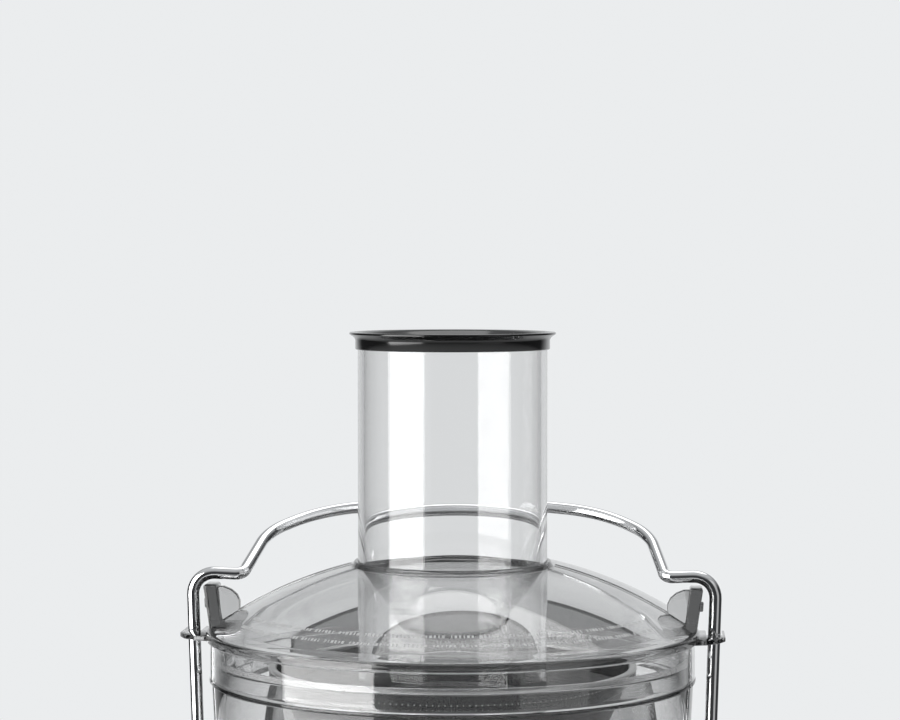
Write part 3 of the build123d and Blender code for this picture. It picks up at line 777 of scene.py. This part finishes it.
# ---- locking arm ----
def make_arm():
    """Bent rod over the lid, with a flat eye at each end."""
    eye_x = HINGE.x + 118.2 * MM
    # corners from the hinge up to the crown, each with its radius in millimetres
    side = [((eye_x, 0, HINGE.z), 0), ((124.9 * MM, 0, BAR_Z), 10),
            ((101 * MM, 2 * MM, BAR_Z - 1.2 * MM), 5), ((93.5 * MM, 36 * MM, BAR_Z + 15.5 * MM), 35),
            ((70 * MM, 58 * MM, BAR_Z + 24.3 * MM), 60)]
    crown = ((0, 69.8 * MM, BAR_Z + 29.6 * MM), 200)
    other_side = [((-x, y, z), radius) for (x, y, z), radius in reversed(side)]
    corners = [(Vector(spot), radius * MM) for spot, radius in [*side, crown, *other_side]]
    bm = rod(round_path(corners), 3 * MM, 24)

    bore, outer, half = 4.1 * MM, 11 * MM, 3.2 * MM
    eye = spun(rounded([(bore, -half, 0.4 * MM), (outer, -half, 0.8 * MM), (outer, half, 0.8 * MM),
                        (bore, half, 0.4 * MM)], 3), 48)
    place = Matrix.Translation((eye_x, 0, HINGE.z)) @ Matrix.Rotation(QUARTER_TURN, 4, "Y")
    bmesh.ops.transform(eye, verts=eye.verts, matrix=place)
    join(bm, eye, mirrored=True)
    new_piece(bm, "locking_arm_rod", CHROME, "arm", ("locking_arm",))


# ---- dial ----
def make_dial_marks():
    """Ring of plain tick marks round the dial, growing from off to full speed."""
    count, between, ring_r = 9, math.radians(30), 25.6 * MM
    dial_z = 75 * MM
    shortest, longer = 1.6 * MM, 0.35 * MM
    face = Vector((middle("control_dial").x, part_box("dial_bezel")[0].y - 0.02 * MM, dial_z))
    bm = bmesh.new()
    for k in range(count):
        size = Matrix.Diagonal((0.9 * MM, 0.3 * MM, shortest + longer * k, 1))
        spot = Matrix.Translation(face) @ Matrix.Rotation(between * k, 4, "Y") \
            @ Matrix.Translation((0, 0, ring_r)) @ size
        bmesh.ops.create_cube(bm, size=1, matrix=spot)
    new_piece(bm, "dial_ticks", BLACK_GLOSS, "base", at_spindle=False)


for make in (make_chute, make_rim, make_lid_shell, make_lid_trim, make_mark_rows, make_lugs, make_bowl,
             make_basket, make_cutting_disc, make_arm, make_dial_marks):
    make()


# ---- pieces that keep their CAD shape: with softened edges, or as they are ----
SOFTENED = {
    "juice_nozzle": (SMOKE, 0.3), "base_top": (BLACK_GRAIN, 0.5), "base_plate": (BLACK_GRAIN, 0.5),
    "dial_bezel": (CHROME, 0.3), "control_dial": (BLACK_GRAIN, 0.3), "arm_brackets": (BLACK_GRAIN, 0.6),
    "pivot_pins": (CHROME, 0.3), "pulp_container": (SMOKE, 0.7), "basket_base": (BLACK_GRAIN, 0.4),
    "disc_cap": (BLACK_GLOSS, 0.3), "splash_guard": (GUARD, 0.2), "feet": (RUBBER, 0.8),
    "cord_gland": (RUBBER, 0.4), "drive_coupling": (GREY_GRAIN, 0.3)}
PLAIN = {
    "lid_seal": SILICONE, "basket_screws": TURNED, "motor_shaft": TURNED, "motor_rotor": LAMINATED,
    "commutator": COPPER, "cooling_fan": BLACK_GRAIN, "lower_bracket": CAST, "upper_bracket": CAST,
    "motor_bolts": TURNED, "motor_mounts": RUBBER, "motor_stator": LAMINATED, "field_coils": COPPER,
    "brush_holders": COPPER, "base_housing": SKIN_STEEL, "spindle_seal": RUBBER, "base_screws": TURNED,
    "rotary_switch": GREY_GRAIN, "circuit_board": BOARD, "interlock_switch": GREY_GRAIN,
    "lower_bearing": TURNED, "upper_bearing": TURNED}
body_of = {node: body for body, nodes in frame["record"]["behaviour"]["bodies"].items() for node in nodes}

for node, (material, edge) in SOFTENED.items():
    softened(node, material, edge)
for node, material in PLAIN.items():
    materials = frame["nodes"][node].data.materials
    materials.clear()
    materials.append(material)


# ---- floor, light and camera ----
def make_floor():
    """Round pale floor that fades out at its edge."""
    floor_r, fade_start, fade_width = 1.25, 0.55, 0.6
    bm = bmesh.new()
    bmesh.ops.create_circle(bm, cap_ends=True, segments=96, radius=floor_r)
    mesh = bpy.data.meshes.new("floor")
    bm.to_mesh(mesh)
    bm.free()
    floor = bpy.data.objects.new("floor", mesh)
    bpy.context.scene.collection.objects.link(floor)
    s = Sheet("pale_floor")
    x, y, _ = s.numbers(s.node("TexCoord").outputs["Object"])
    faded = ((length_of(x, y) - fade_start) / fade_width).clamp()
    matt = s.shader(Base_Color=s.blend(s.noise(30.0), grey(0.8), grey(0.84)), Roughness=0.6)
    clear = s.shader("BsdfTransparent")
    mesh.materials.append(s.done(s.node("MixShader", faded, matt, clear).outputs[0]))


def make_world():
    """Pale studio: even to the eye, nearly so through glass, bright in gloss only behind and overhead."""
    s = Sheet("studio", bpy.data.worlds)
    bpy.context.scene.world = s.material
    pale, dim = (0.83, 0.845, 0.855, 1), (0.04, 0.041, 0.043, 1)
    _, back, up = s.numbers(s.node("TexCoord").outputs["Generated"])
    behind = ((back - 0.7) / 0.2).clamp()
    overhead = ((up - 0.3) / 0.5).clamp() * 0.6
    paths = s.node("LightPath").outputs
    glossy, glass = (Amount(s, paths[kind]) for kind in ("Is Glossy Ray", "Is Transmission Ray"))
    share = 1 - (1 - behind.math("MAXIMUM", overhead)) * (glossy - glass * 0.7).clamp()
    s.done(s.node("Background", s.blend(share, dim, pale)).outputs[0])


LIGHT_AIM_Z = 0.3                            # the lights point at this height on the spindle


def softbox(name, azimuth, distance, height, width, tall, shine, fill):
    """A rectangular light facing the juicer: its shine shows in reflections, its fill lights matt faces."""
    a = math.radians(azimuth)
    spot = Vector((AXIS.x + distance * math.sin(a), AXIS.y - distance * math.cos(a), height))
    aim = Vector((AXIS.x, AXIS.y, LIGHT_AIM_Z)) - spot
    for use, radiance in (("shine", shine), ("fill", fill)):
        light = bpy.data.lights.new(f"{name}_{use}", "AREA")
        light.shape, light.size, light.size_y = "RECTANGLE", width, tall
        light.energy = radiance * math.pi * width * tall
        lamp = bpy.data.objects.new(f"{name}_{use}", light)
        lamp.location, lamp.rotation_euler = spot, aim.to_track_quat("-Z", "Y").to_euler()
        lamp.visible_diffuse = use == "fill"
        lamp.visible_glossy = lamp.visible_transmission = use == "shine"
        bpy.context.scene.collection.objects.link(lamp)


EYE_AZIMUTH, EYE_PITCH = 4.0, 2.08           # degrees
EYE_DISTANCE, EYE_RISE = 1.276, 0.176        # from the spindle, and above the lid's bead
LENS, SENSOR, SHIFT = 107.7, 36, -0.0029


def make_camera():
    data = bpy.data.cameras.new("camera")
    data.lens, data.sensor_width = LENS, SENSOR
    data.shift_x = SHIFT
    camera = bpy.data.objects.new("camera", data)
    a = math.radians(EYE_AZIMUTH)
    camera.location = (AXIS.x + EYE_DISTANCE * math.sin(a), AXIS.y - EYE_DISTANCE * math.cos(a),
                       LID_Z + EYE_RISE)
    camera.rotation_euler = (math.radians(90 - EYE_PITCH), 0, a)
    bpy.context.scene.collection.objects.link(camera)
    bpy.context.scene.camera = camera


make_floor()
make_world()
softbox("left_softbox", EYE_AZIMUTH - 59, distance=1.3, height=0.5, width=1.2, tall=1.5,
        shine=5.8, fill=1.0)
softbox("right_softbox", EYE_AZIMUTH + 47, distance=1.4, height=0.5, width=0.9, tall=1.5,
        shine=0.4, fill=0.5)
softbox("top_softbox", 160, distance=0.5, height=1.6, width=1.1, tall=0.9,
        shine=1.4, fill=0.8)
make_camera()
bpy.context.scene.view_settings.view_transform = "Standard"
